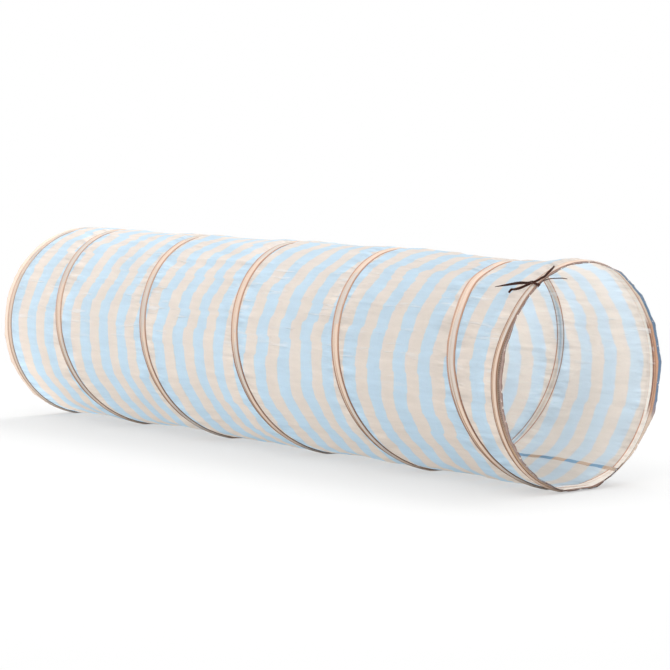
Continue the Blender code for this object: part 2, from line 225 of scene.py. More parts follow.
def settle(depth, radius, angle):
    """Points of the standing tunnel: drawn in between the turns, flat on the floor,
    with a front mouth that leans and is drawn forward by its ties."""
    depth, radius, angle = np.broadcast_arrays(
        np.asarray(depth, float), np.asarray(radius, float), np.asarray(angle, float)
    )
    from_wire = np.sin((angle - coil_angle(depth)) / 2) ** 2
    end = np.minimum(depth, TUNNEL_LENGTH - depth)
    drawn = CLOTH_SAG * from_wire * smooth_step(end, SAG_START_DEPTH, SAG_FULL_DEPTH)
    turned = np.arctan2(np.sin(angle), np.cos(angle))
    flat = np.where(np.abs(turned) < FLAT_ANGLE, cos(FLAT_ANGLE) / np.cos(turned), 1.0)
    lean = 1 - smooth_step(depth, TAPE_REAR_DEPTH, MOUTH_REACH_DEPTH)
    forward = MOUTH_REACH * lean * np.sin(angle) * radius / OUTER_RADIUS
    forward = forward + drawn_forward(depth, angle)
    out = (radius - drawn - hanging(depth, angle)) * flat
    x = FRONT_X - depth + forward
    return np.stack([x, -out * np.sin(angle), AXIS_HEIGHT - out * np.cos(angle)], -1)


def rest_place(depth, angle):
    """A point's place on an ideal round tube, which patterns follow."""
    depth, angle = np.broadcast_arrays(depth, angle)
    y, z = -COIL_RADIUS * np.sin(angle), -COIL_RADIUS * np.cos(angle)
    return np.stack([depth, y, z], -1)


def noise(depth, angle, seed, around, along, linear=False, step=0):
    """Smooth noise with so many cells around the tube and along it. With a step, the
    change from cell to cell round the tube takes only that share of a cell."""
    table = np.random.default_rng(seed).uniform(-1, 1, (around, along + 2))
    u = np.mod(angle / tau, 1) * around
    v = np.clip(depth / TUNNEL_LENGTH, 0, 0.99999) * along
    i, j = np.floor(u).astype(int) % around, np.floor(v).astype(int)
    a, b = u - np.floor(u), v - j
    if step:
        a = smooth_step(a, 0.5 - step / 2, 0.5 + step / 2)
        b = smooth_step(b, 0, 1)
    elif not linear:
        a = a * a * a * (a * (6 * a - 15) + 10)
        b = b * b * (3 - 2 * b)
    k = (i + 1) % around
    low = table[i, j] * (1 - a) + table[k, j] * a
    high = table[i, j + 1] * (1 - a) + table[k, j + 1] * a
    return low * (1 - b) + high * b


def bump_at(value, middle, half):
    """1 at the middle, 0 beyond half a width from it."""
    return smooth_step(1 - np.abs(value - middle) / half, 0, 1)


def to_tape(depth, angle):
    """The distance from the middle of the nearest tape. A mouth's tape is narrower, so
    there it is the distance that puts both kinds' edges at the same value."""
    lean = cos(atan(COIL_PITCH / tau / COIL_RADIUS))
    nearest = np.abs(np.minimum(depth, TUNNEL_LENGTH - depth) - LOOP_DEPTH)
    nearest = nearest + (TAPE_WIDTH - MOUTH_TAPE_WIDTH) / 2
    first = coil_depth(SPLIT_ANGLE) - FIT_GAP
    last = TUNNEL_LENGTH - TAPE_REAR_DEPTH + TAPE_WIDTH / 2
    turn = np.floor((coil_angle(depth) - angle) / tau)
    for step in (0, 1):
        at = coil_depth(angle + (turn + step) * tau)
        gap = np.where((at > first) & (at < last), np.abs(depth - at) * lean, np.inf)
        nearest = np.minimum(nearest, gap)
    return nearest


def low_crease(depth, angle):
    """The fold low on the near side, where the cloth drops in and then bulges."""
    degrees = np.degrees(np.mod(angle, tau))
    middle = 42 + 4 * np.sin(depth * 9) + 2 * np.sin(depth * 31 + 1)
    x = degrees - middle
    shape = np.where(x > 0, -np.exp(-x / 9), 0)
    below = np.where(x <= 0, -np.exp(x / 3) + 0.55 * bump_at(x, -13, 12), 0)
    return (shape + below) * (1 - 0.55 * smooth_step(depth, 0.7, 1.3))


def skin_shift(depth, angle):
    """How far the cloth stands out from the settled tube: puckers, creases, folds."""
    wave = partial(noise, depth, angle)
    away = to_tape(depth, angle)
    degrees = np.degrees(np.mod(angle, tau))
    clear = smooth_step(away, TAPE_WIDTH / 2, 0.05)
    edge = smooth_step(away, TAPE_WIDTH / 2 + 0.0005, TAPE_WIDTH / 2 + 0.006)
    near = edge * np.exp(-np.maximum(away - TAPE_WIDTH / 2, 0) / 0.022)
    shoulders = np.maximum(bump_at(degrees, 130, 60), bump_at(degrees, 235, 60))
    upper = 0.40 + 0.60 * shoulders
    puckers = wave(11, 120, 13) * 0.6 + wave(12, 210, 20) * 0.4
    clusters = 0.35 + 0.65 * smooth_step(wave(13, 19, 18), -0.3, 0.6)
    creases = np.maximum(wave(14, 84, 10) - 0.45, 0) * 1.8
    creases -= np.maximum(-wave(15, 66, 9) - 0.5, 0) * 1.6
    broad = wave(16, 11, 13) * 0.6 + wave(17, 23, 26) * 0.4
    crumple = 0.5 - np.abs(wave(18, 40, 46))
    facets = wave(19, 26, 11, linear=True)
    top = smooth_step(-np.cos(angle), 0.70, 1.0)
    shift = PUCKER_HEIGHT * puckers * near * upper * clusters
    shift += CREASE_HEIGHT * creases * clear * upper
    shift += BROAD_HEIGHT * broad * clear * (1 - 0.7 * top)
    shift += CRUMPLE_HEIGHT * crumple * clear
    shift += FACET_HEIGHT * facets * clear * (1 - 0.7 * top)
    shift += LOW_CREASE_DEPTH * low_crease(depth, angle) * clear
    shift += TOP_RISE * top * smooth_step(away, TAPE_WIDTH / 2, 0.035)
    end = np.minimum(depth, TUNNEL_LENGTH - depth)
    return np.where(end > TAPE_REAR_DEPTH, shift, 0) + edge_shift(depth, angle)


def hem_corners(degrees, corners, depth_share):
    """How far straight runs between corners stand in from the round."""
    at = np.clip(np.searchsorted(corners, degrees, "right") - 1, 0, len(corners) - 2)
    half = np.radians(corners[at + 1] - corners[at]) / 2
    middle = np.radians(corners[at + 1] + corners[at]) / 2
    inward = 1 - np.cos(half) / np.cos(np.radians(degrees) - middle)
    return depth_share * inward * TAPE_RADIUS


def edge_shift(depth, angle):
    """How far a mouth's free edge stands out from the round. It runs straight between
    corners. The front one flares a little on its far side and turns in below it."""
    degrees = np.degrees(np.mod(angle, tau))
    front = EDGE_FLARE * between(degrees, (190, 220), (278, 298))
    front = front - EDGE_TURN_IN * between(degrees, (290, 318), (340, 358))
    front = front - hem_corners(degrees, FRONT_CORNERS, 0.85)
    front = front + 0.0007 * noise(0.5, angle, 51, 190, 2)
    front = front + 0.0006 * noise(0.5, angle, 53, 74, 2)
    rear = 0.0012 - hem_corners(degrees, REAR_CORNERS, 0.40)
    rear = rear + 0.0008 * noise(0.5, angle, 52, 190, 2)
    level = smooth_step(np.abs(np.abs(degrees - 180) - 180), 8, 22)
    shift = np.where(depth < TUNNEL_LENGTH / 2, 0.0008 + front, rear) * level
    end = np.minimum(depth, TUNNEL_LENGTH - depth)
    return shift * (1 - smooth_step(end, 0.001, HEM_WIDTH - 0.0005))


def stripe_place(depth, angle):
    """The stripe pattern's place at a point, counted in periods. Whole numbers are the
    middle of a pale red stripe."""
    wave = partial(noise, depth, angle)
    up = -np.cos(angle)
    high = 0.45 + 0.55 * smooth_step(up, -0.1, 0.5) + 0.55 * smooth_step(up, 0.5, 0.9)
    clear = smooth_step(to_tape(depth, angle), 0, 0.06)
    waver = 0.0034 * wave(31, 26, 17, linear=True)
    waver = waver + 0.0085 * high * wave(33, 34, 9, step=0.14)
    waver = waver + 0.0020 * high * wave(34, 72, 17, step=0.20)
    waver = waver + 0.0014 * wave(32, 70, 44, linear=True)
    waver = waver + 0.0040 * low_crease(depth, angle) * clear
    top = between(np.mod(angle, tau), STRIPE_PULL_RISE, DRAWN_FALL)
    near = 1 - smooth_step(depth, DRAWN_FULL_DEPTH, DRAWN_END_DEPTH)
    pulled = STRIPE_PULL * top * near
    apparent = depth - drawn_forward(depth, angle) + pulled
    return (apparent - STRIPE_START + waver) / STRIPE_PERIOD


def set_values(mesh, name, values):
    """Keeps a number, or a place, for each point of a grid under a name."""
    kind, key = ("FLOAT_VECTOR", "vector") if values.ndim == 3 else ("FLOAT", "value")
    layer = mesh.attributes.new(name, kind, "POINT")
    layer.data.foreach_set(key, values.astype(np.float32).ravel())


def new_object(name, points, faces, *materials):
    mesh = bpy.data.meshes.new(name)
    mesh.from_pydata([tuple(p) for p in points], [], [tuple(f) for f in faces])
    mesh.update()
    piece = bpy.data.objects.new(name, mesh)
    bpy.context.scene.collection.objects.link(piece)
    for material in materials:
        mesh.materials.append(material)
    mesh.shade_smooth()
    mesh.set_sharp_from_angle(angle=radians(50))
    return piece


def grid_faces(rings, columns, start=0, flip=False):
    """Quads between rings of points."""
    i = np.arange(rings - 1)[:, None]
    j = np.arange(columns)
    k = (j + 1) % columns
    here, after = start + i * columns, start + (i + 1) * columns
    quads = np.stack([here + j, here + k, after + k, after + j], -1).reshape(-1, 4)
    return quads[:, ::-1] if flip else quads


def shell(name, outside, inside, values):
    """A closed tube wall between an outer and an inner grid of points."""
    rows, columns = outside.shape[:2]
    count = rows * columns
    points = np.concatenate([outside.reshape(-1, 3), inside.reshape(-1, 3)])
    outer = grid_faces(rows, columns)
    inner = grid_faces(rows, columns, count, True)
    ring = np.arange(columns)
    after = (ring + 1) % columns
    last = (rows - 1) * columns
    front = np.stack([ring, ring + count, after + count, after], -1)
    rear = last + np.stack([ring, after, after + count, ring + count], -1)
    faces = np.concatenate([outer, inner, front, rear])
    slots = np.zeros(len(faces), np.int32)
    slots[len(outer) : len(outer) + len(inner)] = 1
    piece = new_object(name, points, faces, OUTSIDE, INSIDE)
    piece.data.polygons.foreach_set("material_index", slots)
    for key, value in values.items():
        set_values(piece.data, key, np.concatenate([value, value]))
    return outward(piece)


def sweep(name, rings, values, material, closed):
    """A closed body through rings of points, round the tube or with capped ends."""
    count, columns = rings.shape[:2]
    faces = (grid_faces(count + closed, columns) % (count * columns)).tolist()
    if not closed:
        cap = np.arange(columns)
        faces += [cap[::-1], (count - 1) * columns + cap]
    piece = new_object(name, rings.reshape(-1, 3), faces, material)
    for key, value in values.items():
        value = np.broadcast_to(value, rings.shape[: value.ndim])
        set_values(piece.data, key, value)
    return outward(piece)


def strip(name, depth, radius, angle, material, closed=False, **values):
    """A closed body on the tube, through rings of places on it."""
    values = {"rest": rest_place(depth, angle), **values}
    return sweep(name, settle(depth, radius, angle), values, material, closed)


def outward(piece):
    """Turns a closed body's faces outward."""
    shape = bmesh.new()
    shape.from_mesh(piece.data)
    bmesh.ops.recalc_face_normals(shape, faces=shape.faces[:])
    shape.to_mesh(piece.data)
    shape.free()
    return piece


def keep_side(piece, x, ahead):
    """Keeps the part of a strip that lies ahead of a plane across the tunnel, or behind
    it, and closes the cut."""
    shape = bmesh.new()
    shape.from_mesh(piece.data)
    bmesh.ops.bisect_plane(
        shape,
        geom=shape.verts[:] + shape.edges[:] + shape.faces[:],
        dist=1e-7,
        plane_co=(x, 0, 0),
        plane_no=(1, 0, 0),
        clear_inner=ahead,
        clear_outer=not ahead,
    )
    rim = [e for e in shape.edges if e.is_boundary]
    if rim:
        bmesh.ops.contextual_create(shape, geom=rim)
    shape.to_mesh(piece.data)
    shape.free()
    piece.data.update()


def copy_piece(piece, name):
    twin = piece.copy()
    twin.data = piece.data.copy()
    twin.name = name
    bpy.context.scene.collection.objects.link(twin)
    return twin


def linear(red, green, blue):
    """A colour written as the photograph shows it, in scene values."""
    return tuple(
        c / 255 / 12.92 if c <= 10 else ((c / 255 + 0.055) / 1.055) ** 2.4
        for c in (red, green, blue)
    ) + (1.0,)


class Nodes:
    """Builds the node tree of a material, or of the world, a short call for a node."""

    def __init__(self, name="", tree=None):
        kind, self.material = "World", None
        if tree is None:
            kind, self.material = "Material", bpy.data.materials.new(name)
            self.material.use_nodes = True
            tree = self.material.node_tree
        self.tree = tree
        self.tree.nodes.clear()
        self.out = self.tree.nodes.new(f"ShaderNodeOutput{kind}")

    def put(self, socket, value):
        if isinstance(value, bpy.types.NodeSocket):
            self.tree.links.new(value, socket)
        else:
            socket.default_value = value

    def make(self, kind, *values, settings=(), **inputs):
        """A node, with its inputs given in their order or by their names."""
        made = self.tree.nodes.new(f"ShaderNode{kind}")
        for key, value in dict(settings).items():
            setattr(made, key, value)
        for socket, value in zip(made.inputs, values):
            self.put(socket, value)
        for key, value in inputs.items():
            self.put(made.inputs[key.replace("_", " ")], value)
        return made

    def node(self, kind, *values, **inputs):
        """A node's first output."""
        return self.make(kind, *values, **inputs).outputs[0]

    def math(self, operation, *values):
        return self.node("Math", *values, settings={"operation": operation})

    def times(self, product, *factors):
        for factor in factors:
            product = self.math("MULTIPLY", product, factor)
        return product

    def plus(self, a, b):
        return self.math("ADD", a, b)

    def scaled(self, value, factor, start):
        """A value times a factor, plus a start."""
        return self.math("MULTIPLY_ADD", value, factor, start)

    def read(self, name, output="Fac"):
        """What the mesh keeps at each point under a name."""
        return self.make("Attribute", settings={"attribute_name": name}).outputs[output]

    def tube(self):
        """The place on the ideal tube, the angle round it, the depth and the height."""
        rest = self.read("rest", "Vector")
        depth, side, height = self.make("SeparateXYZ", rest).outputs
        return rest, self.math("ARCTAN2", side, height), depth, height

    def noise(self, vector, scale, detail=2.0, rough=0.5):
        return self.node(
            "TexNoise", Vector=vector, Scale=scale, Detail=detail, Roughness=rough
        )

    def streaks(self, vector, along, round_way, detail, rough):
        """Noise with so many cells per metre along the tunnel and round it."""
        cells = (along, round_way, round_way)
        kind = {"operation": "MULTIPLY"}
        drawn = self.node("VectorMath", vector, cells, settings=kind)
        return self.noise(drawn, 1.0, detail, rough)

    def spread(self, value, low, high, to_low=0.0, to_high=1.0, smooth=False):
        kind = {"interpolation_type": "SMOOTHSTEP" if smooth else "LINEAR"}
        return self.node("MapRange", value, low, high, to_low, to_high, settings=kind)

    def rise(self, value, low, high):
        """0 below the lower limit, 1 above the upper one."""
        return self.spread(value, low, high, smooth=True)

    def fall(self, value, low, high, most=1.0):
        """The most below the lower limit, 0 above the upper one."""
        return self.spread(value, low, high, most, 0.0, smooth=True)

    def band(self, value, low, high, soft):
        """1 between two limits, with soft edges."""
        rise = self.rise(value, low - soft, low + soft)
        return self.times(rise, self.fall(value, high - soft, high + soft))

    def zone(self, angle, low, high, soft):
        """1 between two angles in degrees, with soft edges."""
        return self.band(angle, *(radians(d) for d in (low, high, soft)))

    def mix(self, share, a, b, how="MIX"):
        made = self.make("Mix", settings={"data_type": "RGBA", "blend_type": how})
        for socket, value in zip((0, 6, 7), (share, a, b)):
            self.put(made.inputs[socket], value)
        return made.outputs[2]

    def blend(self, share, first, second):
        """From one colour of the photograph to another."""
        return self.mix(share, linear(*first), linear(*second))

    def paint(self, colour, share, *over):
        """A colour that another one covers as far as the share says."""
        return self.mix(share, colour, linear(*over))

    def shade(self, colour, level):
        """A colour times a grey level."""
        grey = self.node("CombineColor", level, level, level)
        return self.mix(1.0, colour, grey, "MULTIPLY")

    def bump(self, height, strength, distance):
        return self.node("Bump", Strength=strength, Distance=distance, Height=height)

    def face(self, colour, mottle, rough, normal, **more):
        """A surface whose roughness goes from one value to another with a noise."""
        rough = self.spread(mottle, 0.3, 0.7, *rough)
        return self.node(
            "BsdfPrincipled", Base_Color=colour, Roughness=rough, Normal=normal, **more
        )

    def seen(self):
        """1 for what is looked at, straight or through gloss and glass, 0 for light."""
        path = self.make("LightPath").outputs
        shiny = self.math("MAXIMUM", path["Is Glossy Ray"], path["Is Transmission Ray"])
        return self.math("MAXIMUM", path["Is Camera Ray"], shiny)

    def finish(self, surface):
        self.put(self.out.inputs["Surface"], surface)
        return self.material


# The threads round the tube, and the gap between the threads along it
CLOTH_THREADS = (1760.0, 0.0008)
TAPE_THREADS = (2000.0, 0.0007)


def stripe_colours(n, rest, first, second):
    """Two colours in rings, with edges that are soft over about a millimetre."""
    rough = n.scaled(n.noise(rest, 900.0, 1.0), 0.010, -0.005)
    wave = n.math("COSINE", n.times(n.plus(n.read("stripe"), rough), tau))
    share = n.rise(wave, -0.09, 0.09)
    return n.mix(share, second, first), share


def weave(n, angle, depth, threads):
    """Plain weave: threads that pass over and under each other."""
    round_way = n.math("SINE", n.times(angle, threads[0]))
    along = n.math("SINE", n.times(depth, tau / threads[1]))
    return n.times(round_way, along)


def stitches(n, angle, across, row, count, gap):
    """A row of stitches at a place across a tape."""
    wave = n.math("SINE", n.times(angle, count))
    return n.times(n.band(across, *row), n.rise(wave, gap, gap + 0.2))


def layered(colour):
    """The colour of each of a closed sheet's two layers, so that what they send back
    and what they let through add up to the colour that is asked for."""
    return tuple(2 * c / (1 + c) for c in colour[:3]) + (1.0,)


def mouth_band(n, colour, depth, angle):
    """The inner side of the front mouth's tape: cream, with thin lines at its front,
    which are pink high up, white low down, and orange and brown on the far side."""
    high = n.zone(angle, 8, 64, 6)
    side = n.zone(angle, 64, 112, 5)
    low = n.zone(angle, 112, 160, 5)
    open_cloth = n.times(low, n.band(depth, 0.0225, 0.0340, 0.0006))
    covered = n.band(depth, 0.0150, 0.0322, 0.0006)
    cream = n.times(covered, n.math("SUBTRACT", 0.90, open_cloth))
    colour = n.paint(colour, cream, 252, 243, 232)
    for where, first, last, strength, line_colour in (
        (high, 0.0150, 0.0182, 0.80, (214, 168, 146)),
        (low, 0.0156, 0.0185, 0.80, (255, 250, 242)),
        (side, 0.0150, 0.0190, 0.90, (206, 158, 128)),
        (side, 0.0188, 0.0230, 0.92, (142, 92, 70)),
        (side, 0.0240, 0.0300, 0.80, (255, 252, 244)),
    ):
        line = n.times(n.band(depth, first, last, 0.0005), where, strength)
        colour = n.paint(colour, line, *line_colour)
    return colour


def behind_tapes(n, colour, share, away):
    """The inside where a tape is sewn on behind it: pale, with a painted shadow of the
    wire along its middle and painted shadows of the tape's two edges.
    """
    covered = n.fall(away, 0.0108, 0.0118)
    core = n.fall(away, 0.0010, 0.0050)
    edges = n.band(away, 0.0084, 0.0114, 0.0005)
    tint = n.blend(share, (238, 243, 247), (252, 240, 228))
    # painted shadow of the wire, seen through the cloth
    shadow = n.blend(share, (184, 206, 224), (238, 218, 200))
    tint = n.mix(n.times(core, 0.80), tint, shadow)
    colour = n.mix(n.times(covered, 0.90), colour, tint)
    # painted shadows of the tape's edges, seen through the cloth
    edge_shadow_colour = n.blend(share, (184, 140, 116), (212, 150, 116))
    return n.mix(n.times(edges, 0.88), colour, edge_shadow_colour), covered


def painted_light_by_height(n, colour, share, height):
    """The outside's colours: a little deeper low down, a painted shade, and paler on
    top, a painted highlight.
    """
    # painted shade: deeper colours low down
    painted_low_shade = n.mix(share, (0.975, 1.0, 1.012, 1), (1.01, 1.0, 0.99, 1))
    colour = n.mix(n.fall(height, -0.16, 0.10), colour, painted_low_shade, "MULTIPLY")
    # painted highlight: paler colours on top
    painted_top_light = n.mix(share, (1.01, 1.01, 1.01, 1), (1.005, 1.015, 1.03, 1))
    high = n.rise(height, 0.10, 0.20)
    return n.mix(high, colour, painted_top_light, "MULTIPLY")


def crease_highlights(n, rest, height, away):
    """Painted highlights: thin pale lines along the tunnel where the cloth is creased,
    mostly high up.
    """
    wave = n.streaks(rest, 10.0, 88.0, 2.0, 0.5)
    line = n.rise(wave, 0.575, 0.70)
    patches = n.rise(n.noise(rest, 8.0), 0.44, 0.60)
    patches = n.math("MAXIMUM", patches, n.fall(away, 0.011, 0.040, 0.9))
    return n.times(line, patches, n.rise(height, -0.07, 0.06))


def cloth_material(name, first, second, through, inner=False):
    """Thin woven cloth that lets light through. Painted shade dims it by the front
    mouth, the outside more than the inside; painted light lifts the outside a little
    deep in the tunnel."""
    n = Nodes(name)
    rest, angle, depth, height = n.tube()
    away = n.read("tape")
    colour, share = stripe_colours(n, rest, layered(first), layered(second))
    if inner:
        colour, covered = behind_tapes(n, colour, share, away)
        colour = mouth_band(n, colour, depth, angle)
        through = n.spread(covered, 0.0, 1.0, through, 0.12)
        # painted shade: the inside a little darker near the front mouth
        painted_mouth_shade = n.spread(depth, 0.10, 0.50, 0.975, 1.0)
    else:
        colour = painted_light_by_height(n, colour, share, height)
        # painted shade near the front mouth, painted light a little deep in the tunnel
        painted_mouth_shade = n.spread(depth, 0.15, 0.85, 0.962, 1.02)
    threads = weave(n, angle, depth, CLOTH_THREADS)
    slubs = n.noise(rest, 240.0, 3.0, 0.6)
    clouds = n.noise(rest, 9.0, 3.0, 0.55)
    streaks = n.math("SUBTRACT", n.streaks(rest, 12.0, 85.0, 3.0, 0.6), 0.5)
    by_tape = n.spread(away, 0.010, 0.075, 1.0, 0.30, smooth=True)
    streaks = n.times(streaks, by_tape)
    level = n.scaled(threads, 0.018, 1.0)
    level = n.plus(level, n.scaled(slubs, 0.05, -0.025))
    level = n.plus(level, n.scaled(clouds, 0.07, -0.035))
    # painted light and shade of wrinkles: the streaks lighten and darken the colour,
    # most near the tapes
    level = n.plus(level, n.times(streaks, 0.50))
    colour = n.shade(colour, n.times(level, painted_mouth_shade))
    creases = crease_highlights(n, rest, height, away)
    # painted highlights along the creases
    colour = n.paint(colour, n.times(creases, 0.50), 252, 252, 253)
    relief = n.scaled(threads, 0.05, n.noise(rest, 55.0, 4.0, 0.6))
    relief = n.plus(relief, n.times(streaks, 4.2))
    relief = n.plus(relief, n.times(creases, 1.6))
    normal = n.bump(relief, 0.7, 0.0016)
    sent_back = colour
    if not inner:
        # painted shade: the outside sends back less light near the front mouth
        sent_back = n.shade(colour, n.spread(depth, 0.15, 0.85, 0.90, 1.0))
    sheen = {"Sheen_Weight": 0.12, "Sheen_Roughness": 0.4, "Specular_IOR_Level": 0.25}
    face = n.face(sent_back, clouds, (0.70, 0.82), normal, **sheen)
    back = n.node("BsdfTranslucent", Color=colour, Normal=normal)
    return n.finish(n.node("MixShader", through, face, back))


def tape_material():
    """A thin woven tape whose folded edges are darker, sewn down along both of them.
    Painted shade darkens its edges, a rim on them and the line over the wire, low down
    and along the front mouth.
    """
    n = Nodes("coil_tape_weave")
    rest, angle, depth, height = n.tube()
    across = n.read("across")
    middle = n.math("ABSOLUTE", across)
    far = n.plus(middle, n.scaled(n.noise(rest, 14.0), 0.0016, -0.0008))
    wave = n.math("COSINE", n.times(n.read("stripe"), tau))
    share = n.rise(wave, -0.25, 0.25)
    colour = n.blend(share, (223, 213, 204), (237, 217, 200))
    # painted shade: the tape's edges, rim and wire line darken low down and along the
    # front mouth
    low = n.fall(height, -0.12, 0.10)
    low = n.math("MAXIMUM", low, n.spread(depth, 0.034, 0.040, 0.75, 0.0))
    low = n.times(low, n.spread(height, 0.10, 0.20, 1.0, 0.35))
    worn = n.noise(rest, 20.0, 3.0)
    upper_edge = n.blend(worn, (216, 172, 146), (186, 138, 112))
    shaded_lower_edge = n.blend(worn, (164, 118, 90), (122, 80, 58))
    edge = n.rise(far, 0.0062, 0.0080)
    edge = n.times(edge, n.spread(depth, 1.0, 1.76, 0.92, 0.60))
    colour = n.mix(edge, colour, n.mix(low, upper_edge, shaded_lower_edge))
    # painted shade: a dark rim on the tape's edges, strongest low down
    rim = n.rise(far, 0.0103, 0.0113)
    rim = n.times(rim, n.scaled(low, 0.65, 0.12), n.spread(depth, 1.0, 1.76, 1.0, 0.65))
    colour = n.paint(colour, rim, 120, 78, 58)
    # the wire showing through the tape, darkened low down by painted shade
    wire = n.times(n.fall(middle, 0.0008, 0.0022), n.scaled(low, 0.72, 0.14))
    colour = n.paint(colour, wire, 172, 126, 78)
    stitch = stitches(n, angle, across, (0.00835, 0.00905, 0.00015), 400.0, -0.5)
    colour = n.paint(colour, n.times(stitch, 0.7), 225, 200, 182)
    threads = weave(n, angle, depth, TAPE_THREADS)
    slubs = n.noise(rest, 320.0, 2.0, 0.6)
    level = n.plus(n.scaled(threads, 0.03, 0.97), n.scaled(slubs, 0.10, -0.02))
    colour = n.shade(colour, level)
    relief = n.scaled(threads, 0.15, n.times(stitch, 1.2))
    relief = n.plus(relief, n.times(n.noise(rest, 130.0, 3.0), 0.8))
    normal = n.bump(relief, 0.6, 0.0007)
    sheen = {"Sheen_Weight": 0.1, "Specular_IOR_Level": 0.3}
    face = n.face(colour, slubs, (0.62, 0.78), normal, **sheen)
    back = n.node("BsdfTranslucent", Color=colour)
    return n.finish(n.node("MixShader", 0.35, face, back))


def hem_outside(n, streak, across, height, rear):
    """The binding's outside: dark along its core at the front, painted shade over the
    folded layers, and paler at the rear.
    """
    # the front binding is darker than the rear one: painted shade over its folded
    # layers
    colour = n.blend(streak, (104, 78, 66), (176, 154, 146))
    # painted shade over the folded layers: the dark core at the front
    core = n.times(n.band(across, 0.0078, 0.0132, 0.0012), 0.85)
    colour = n.paint(colour, core, 74, 50, 34)
    pale = n.times(n.band(across, 0.0130, 0.0150, 0.0006), 0.5)
    colour = n.paint(colour, pale, 170, 142, 102)
    golden = n.band(across, 0.0084, 0.0150, 0.0008)
    golden = n.times(golden, n.fall(height, -0.16, -0.04, 0.85))
    colour = n.paint(colour, golden, 182, 148, 112)
    rear_colour = n.blend(streak, (216, 190, 172), (232, 214, 198))
    rear_edge = n.times(n.spread(across, 0.0, 0.0035, 1.0, 0.0), 0.8)
    rear_colour = n.paint(rear_colour, rear_edge, 176, 136, 114)
    return n.mix(rear, colour, rear_colour)


def hem_inside(n, streak, across, angle, side):
    """The binding's inner side: brown, pale or orange by the angle, with its seam, and
    grey-blue in painted shade along its free edge on the far side.
    """
    pale = n.math("MAXIMUM", n.zone(angle, 10, 66, 6), n.zone(angle, 112, 148, 5))
    colour = n.blend(pale, (122, 88, 70), (228, 206, 186))
    colour = n.paint(colour, n.zone(angle, 66, 112, 6), 208, 158, 126)
    seam = n.times(n.band(across, 0.0134, 0.0160, 0.0005), 0.8)
    colour = n.paint(colour, seam, 160, 106, 82)
    # painted shade: a blue stripe along the free edge on the far side, darkened to
    # grey-blue
    colour = n.paint(colour, side, 106, 130, 156)
    tone = n.mix(streak, (0.8, 0.8, 0.8, 1), (1.15, 1.15, 1.15, 1))
    return n.mix(1.0, colour, tone, "MULTIPLY")


def hem_material():
    """A dark binding, whose inner side is grey-blue in painted shade along its free
    edge on the far side, with a rim darkened by painted shade, most at the bottom, and
    pale flecks at the front mouth."""
    n = Nodes("hem_weave")
    rest, angle, depth, height = n.tube()
    across = n.read("across")
    streak = n.noise(rest, 90.0, 4.0, 0.65)
    rear = n.spread(depth, 0.8, 1.0)
    front = n.math("SUBTRACT", 1.0, rear)
    side = n.times(n.zone(angle, 20, 112, 8), n.fall(across, 0.0064, 0.0076))
    outside = hem_outside(n, streak, across, height, rear)
    inside = hem_inside(n, streak, across, angle, side)
    colour = n.mix(n.spread(n.read("inner"), 0.3, 0.7), outside, inside)
    # painted shade: a dark rim along the front's free edge, strongest at the bottom
    rim = n.times(n.fall(across, 0.0010, 0.0026), front)
    rim = n.times(rim, n.math("SUBTRACT", 1.0, n.times(side, 0.8)))
    rim = n.times(rim, n.spread(height, -0.215, -0.17, 0.9, 0.30, smooth=True))
    colour = n.paint(colour, rim, 68, 42, 32)
    flecks = n.rise(n.noise(rest, 150.0), 0.62, 0.67)
    free = n.times(n.spread(across, 0.003, 0.006, 1.0, 0.0), front)
    colour = n.paint(colour, n.times(flecks, free, 0.75), 236, 226, 216)
    stitch = stitches(n, angle, across, (0.0098, 0.0106, 0.0002), 330.0, -0.4)
    colour = n.paint(colour, n.times(stitch, 0.7), 214, 186, 166)
    relief = n.scaled(weave(n, angle, depth, TAPE_THREADS), 0.2, streak)
    normal = n.bump(relief, 0.6, 0.0008)
    sheen = {"Sheen_Weight": 0.15, "Specular_IOR_Level": 0.3}
    return n.finish(n.face(colour, streak, (0.60, 0.80), normal, **sheen))


def ribbon_material():
    """A narrow dark ribbon with a slight gloss along its threads."""
    n = Nodes("tie_ribbon_weave")
    across, along = n.read("across"), n.read("along")
    streak = n.noise(n.node("CombineXYZ", along, across), 260.0, 4.0, 0.6)
    colour = n.blend(streak, (16, 4, 1), (72, 28, 12))
    selvedge = n.rise(n.math("ABSOLUTE", across), 0.35, 0.47)
    colour = n.paint(colour, n.times(selvedge, 0.3), 92, 50, 32)
    ribs = n.math("SINE", n.times(along, tau / 0.0006))
    normal = n.bump(n.scaled(ribs, 0.3, streak), 0.5, 0.0004)
    sheen = {"Sheen_Weight": 0.03, "Specular_IOR_Level": 0.25}
    return n.finish(n.face(colour, streak, (0.50, 0.66), normal, **sheen))


def wire_material():
    """Bright drawn spring wire with fine marks along it."""
    n = Nodes("spring_wire")
    marks = n.noise(n.read("rest", "Vector"), 400.0, 3.0, 0.7)
    colour = n.blend(marks, (150, 152, 156), (196, 198, 202))
    normal = n.bump(marks, 0.2, 0.0003)
    return n.finish(n.face(colour, marks, (0.26, 0.42), normal, Metallic=1.0))


OUTSIDE = cloth_material(
    "striped_cloth_outside", linear(232, 217, 205), linear(193, 219, 240), 0.72
)
# painted light: the inside is a paler copy of the cloth's colours, which brightens the
# interior
INSIDE = cloth_material(
    "striped_cloth_inside_painted_light", linear(253, 246, 238), linear(242, 249, 253), 0.78, True
)
# painted shade: the seam's doubled cloth is a darker copy of the stripes
SEAM = cloth_material("seam_cloth", linear(222, 190, 165), linear(136, 174, 207), 0.40)
TAPE = tape_material()
HEM = hem_material()
RIBBON = ribbon_material()
WIRE = wire_material()


def plane_depth(x, angle):
    """The depth at which a line along the skin crosses a plane across the tunnel."""
    depth = np.full_like(angle, FRONT_X - x)
    for _ in range(30):
        depth += settle(depth, SKIN_RADIUS, angle)[:, 0] - x
    return depth


